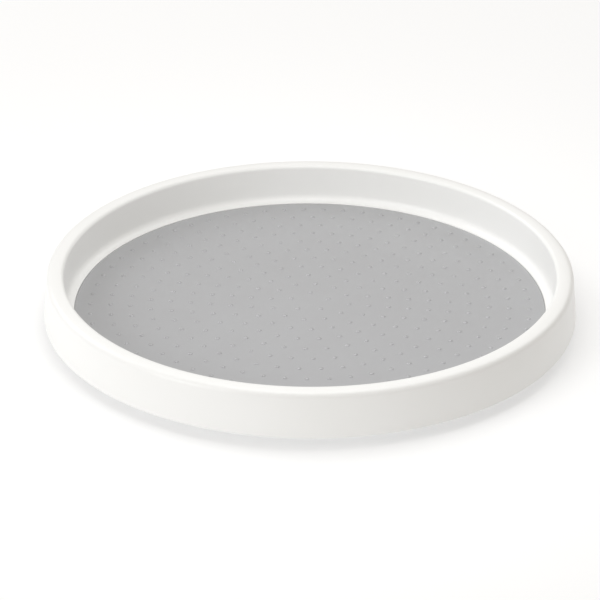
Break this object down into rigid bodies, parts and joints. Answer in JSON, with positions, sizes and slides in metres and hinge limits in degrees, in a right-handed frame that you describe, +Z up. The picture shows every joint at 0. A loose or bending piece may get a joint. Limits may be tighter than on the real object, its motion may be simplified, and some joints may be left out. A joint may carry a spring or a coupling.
{
  "type": "lazy susan turntable",
  "caption": "Round turntable tray with a low hollow rim and a studded grip mat, turning freely on a caged ball race over a footed round base.",
  "frame": {"origin": "on the surface that the turntable stands on, under its turning axis", "axes": "+Z up along the turning axis; the tray is round, so +X and +Y are free, and a foot lies on +X"},
  "size_m": [0.406, 0.406, 0.0422],
  "materials": {
    "tray_plastic": "white moulded plastic with a soft satin gloss",
    "mat_elastomer": "light grey matt thermoplastic elastomer with low round studs",
    "base_plastic": "white moulded plastic, fine matt texture",
    "cage_plastic": "natural low-friction moulded plastic",
    "ball_steel": "polished steel",
    "screw_steel": "zinc plated steel",
    "foot_rubber": "grey matt rubber"
  },
  "bodies": {
    "base": {"base_plate": "base_plastic", "foot_01": "foot_rubber", "foot_02": "foot_rubber", "foot_03": "foot_rubber", "foot_04": "foot_rubber", "foot_05": "foot_rubber", "foot_06": "foot_rubber"},
    "tray": {"tray_shell": "tray_plastic", "grip_mat": "mat_elastomer", "pivot_screw": "screw_steel", "pivot_washer": "screw_steel"},
    "cage": {"ball_cage": "cage_plastic"},
    "rolling_ball_01": {"ball_01": "ball_steel"},
    "rolling_ball_02": {"ball_02": "ball_steel"},
    "rolling_ball_03": {"ball_03": "ball_steel"},
    "rolling_ball_04": {"ball_04": "ball_steel"},
    "rolling_ball_05": {"ball_05": "ball_steel"},
    "rolling_ball_06": {"ball_06": "ball_steel"},
    "rolling_ball_07": {"ball_07": "ball_steel"},
    "rolling_ball_08": {"ball_08": "ball_steel"},
    "rolling_ball_09": {"ball_09": "ball_steel"},
    "rolling_ball_10": {"ball_10": "ball_steel"},
    "rolling_ball_11": {"ball_11": "ball_steel"},
    "rolling_ball_12": {"ball_12": "ball_steel"},
    "rolling_ball_13": {"ball_13": "ball_steel"},
    "rolling_ball_14": {"ball_14": "ball_steel"},
    "rolling_ball_15": {"ball_15": "ball_steel"},
    "rolling_ball_16": {"ball_16": "ball_steel"},
    "rolling_ball_17": {"ball_17": "ball_steel"},
    "rolling_ball_18": {"ball_18": "ball_steel"},
    "rolling_ball_19": {"ball_19": "ball_steel"},
    "rolling_ball_20": {"ball_20": "ball_steel"}
  },
  "joints": [
    {"name": "tray_spin", "type": "hinge", "parent": "base", "child": "tray", "pos_m": [0, 0, 0], "axis": [0, 0, 1], "continuous": true},
    {"name": "cage_spin", "type": "hinge", "parent": "base", "child": "cage", "pos_m": [0, 0, 0], "axis": [0, 0, 1], "continuous": true},
    {"name": "ball_01_roll", "type": "hinge", "parent": "cage", "child": "rolling_ball_01", "pos_m": [0.1, 0, 0.005], "axis": [1, 0, 0], "continuous": true},
    {"name": "ball_02_roll", "type": "hinge", "parent": "cage", "child": "rolling_ball_02", "pos_m": [0.09511, 0.0309, 0.005], "axis": [0.9511, 0.309, 0], "continuous": true},
    {"name": "ball_03_roll", "type": "hinge", "parent": "cage", "child": "rolling_ball_03", "pos_m": [0.0809, 0.05878, 0.005], "axis": [0.809, 0.5878, 0], "continuous": true},
    {"name": "ball_04_roll", "type": "hinge", "parent": "cage", "child": "rolling_ball_04", "pos_m": [0.05878, 0.0809, 0.005], "axis": [0.5878, 0.809, 0], "continuous": true},
    {"name": "ball_05_roll", "type": "hinge", "parent": "cage", "child": "rolling_ball_05", "pos_m": [0.0309, 0.09511, 0.005], "axis": [0.309, 0.9511, 0], "continuous": true},
    {"name": "ball_06_roll", "type": "hinge", "parent": "cage", "child": "rolling_ball_06", "pos_m": [0, 0.1, 0.005], "axis": [0, 1, 0], "continuous": true},
    {"name": "ball_07_roll", "type": "hinge", "parent": "cage", "child": "rolling_ball_07", "pos_m": [-0.0309, 0.09511, 0.005], "axis": [-0.309, 0.9511, 0], "continuous": true},
    {"name": "ball_08_roll", "type": "hinge", "parent": "cage", "child": "rolling_ball_08", "pos_m": [-0.05878, 0.0809, 0.005], "axis": [-0.5878, 0.809, 0], "continuous": true},
    {"name": "ball_09_roll", "type": "hinge", "parent": "cage", "child": "rolling_ball_09", "pos_m": [-0.0809, 0.05878, 0.005], "axis": [-0.809, 0.5878, 0], "continuous": true},
    {"name": "ball_10_roll", "type": "hinge", "parent": "cage", "child": "rolling_ball_10", "pos_m": [-0.09511, 0.0309, 0.005], "axis": [-0.9511, 0.309, 0], "continuous": true},
    {"name": "ball_11_roll", "type": "hinge", "parent": "cage", "child": "rolling_ball_11", "pos_m": [-0.1, 0, 0.005], "axis": [-1, 0, 0], "continuous": true},
    {"name": "ball_12_roll", "type": "hinge", "parent": "cage", "child": "rolling_ball_12", "pos_m": [-0.09511, -0.0309, 0.005], "axis": [-0.9511, -0.309, 0], "continuous": true},
    {"name": "ball_13_roll", "type": "hinge", "parent": "cage", "child": "rolling_ball_13", "pos_m": [-0.0809, -0.05878, 0.005], "axis": [-0.809, -0.5878, 0], "continuous": true},
    {"name": "ball_14_roll", "type": "hinge", "parent": "cage", "child": "rolling_ball_14", "pos_m": [-0.05878, -0.0809, 0.005], "axis": [-0.5878, -0.809, 0], "continuous": true},
    {"name": "ball_15_roll", "type": "hinge", "parent": "cage", "child": "rolling_ball_15", "pos_m": [-0.0309, -0.09511, 0.005], "axis": [-0.309, -0.9511, 0], "continuous": true},
    {"name": "ball_16_roll", "type": "hinge", "parent": "cage", "child": "rolling_ball_16", "pos_m": [0, -0.1, 0.005], "axis": [0, -1, 0], "continuous": true},
    {"name": "ball_17_roll", "type": "hinge", "parent": "cage", "child": "rolling_ball_17", "pos_m": [0.0309, -0.09511, 0.005], "axis": [0.309, -0.9511, 0], "continuous": true},
    {"name": "ball_18_roll", "type": "hinge", "parent": "cage", "child": "rolling_ball_18", "pos_m": [0.05878, -0.0809, 0.005], "axis": [0.5878, -0.809, 0], "continuous": true},
    {"name": "ball_19_roll", "type": "hinge", "parent": "cage", "child": "rolling_ball_19", "pos_m": [0.0809, -0.05878, 0.005], "axis": [0.809, -0.5878, 0], "continuous": true},
    {"name": "ball_20_roll", "type": "hinge", "parent": "cage", "child": "rolling_ball_20", "pos_m": [0.09511, -0.0309, 0.005], "axis": [0.9511, -0.309, 0], "continuous": true}
  ],
  "couplings": [
    {"joint": "cage_spin", "follows": "tray_spin", "ratio": 0.5},
    {"joint": "ball_01_roll", "follows": "tray_spin", "ratio": -18.182},
    {"joint": "ball_02_roll", "follows": "tray_spin", "ratio": -18.182},
    {"joint": "ball_03_roll", "follows": "tray_spin", "ratio": -18.182},
    {"joint": "ball_04_roll", "follows": "tray_spin", "ratio": -18.182},
    {"joint": "ball_05_roll", "follows": "tray_spin", "ratio": -18.182},
    {"joint": "ball_06_roll", "follows": "tray_spin", "ratio": -18.182},
    {"joint": "ball_07_roll", "follows": "tray_spin", "ratio": -18.182},
    {"joint": "ball_08_roll", "follows": "tray_spin", "ratio": -18.182},
    {"joint": "ball_09_roll", "follows": "tray_spin", "ratio": -18.182},
    {"joint": "ball_10_roll", "follows": "tray_spin", "ratio": -18.182},
    {"joint": "ball_11_roll", "follows": "tray_spin", "ratio": -18.182},
    {"joint": "ball_12_roll", "follows": "tray_spin", "ratio": -18.182},
    {"joint": "ball_13_roll", "follows": "tray_spin", "ratio": -18.182},
    {"joint": "ball_14_roll", "follows": "tray_spin", "ratio": -18.182},
    {"joint": "ball_15_roll", "follows": "tray_spin", "ratio": -18.182},
    {"joint": "ball_16_roll", "follows": "tray_spin", "ratio": -18.182},
    {"joint": "ball_17_roll", "follows": "tray_spin", "ratio": -18.182},
    {"joint": "ball_18_roll", "follows": "tray_spin", "ratio": -18.182},
    {"joint": "ball_19_roll", "follows": "tray_spin", "ratio": -18.182},
    {"joint": "ball_20_roll", "follows": "tray_spin", "ratio": -18.182}
  ]
}
